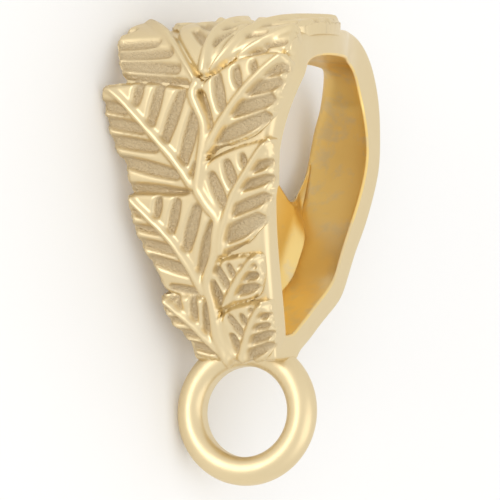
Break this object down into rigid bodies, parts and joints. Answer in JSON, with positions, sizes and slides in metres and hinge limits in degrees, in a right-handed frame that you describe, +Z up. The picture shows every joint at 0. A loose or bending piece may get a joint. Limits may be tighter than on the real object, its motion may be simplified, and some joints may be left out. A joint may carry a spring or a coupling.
{
  "type": "leaf pendant bail with ring",
  "caption": "Cast bail: a tapering leaf panel wraps over into a plain strap, closing a loop for a chain, with a round wire ring at its foot.",
  "frame": {"origin": "middle of the bounding box, on the surface the bail lies on", "axes": "the bail lies on its left side: +Y from the ring to the top of the loop, +X from the leaf panel to the strap, +Z up"},
  "size_m": [0.0136, 0.0204, 0.0092],
  "materials": {
    "cast_gold": "polished"
  },
  "bodies": {
    "root": {"leaf_bail": "cast_gold"}
  },
  "joints": []
}
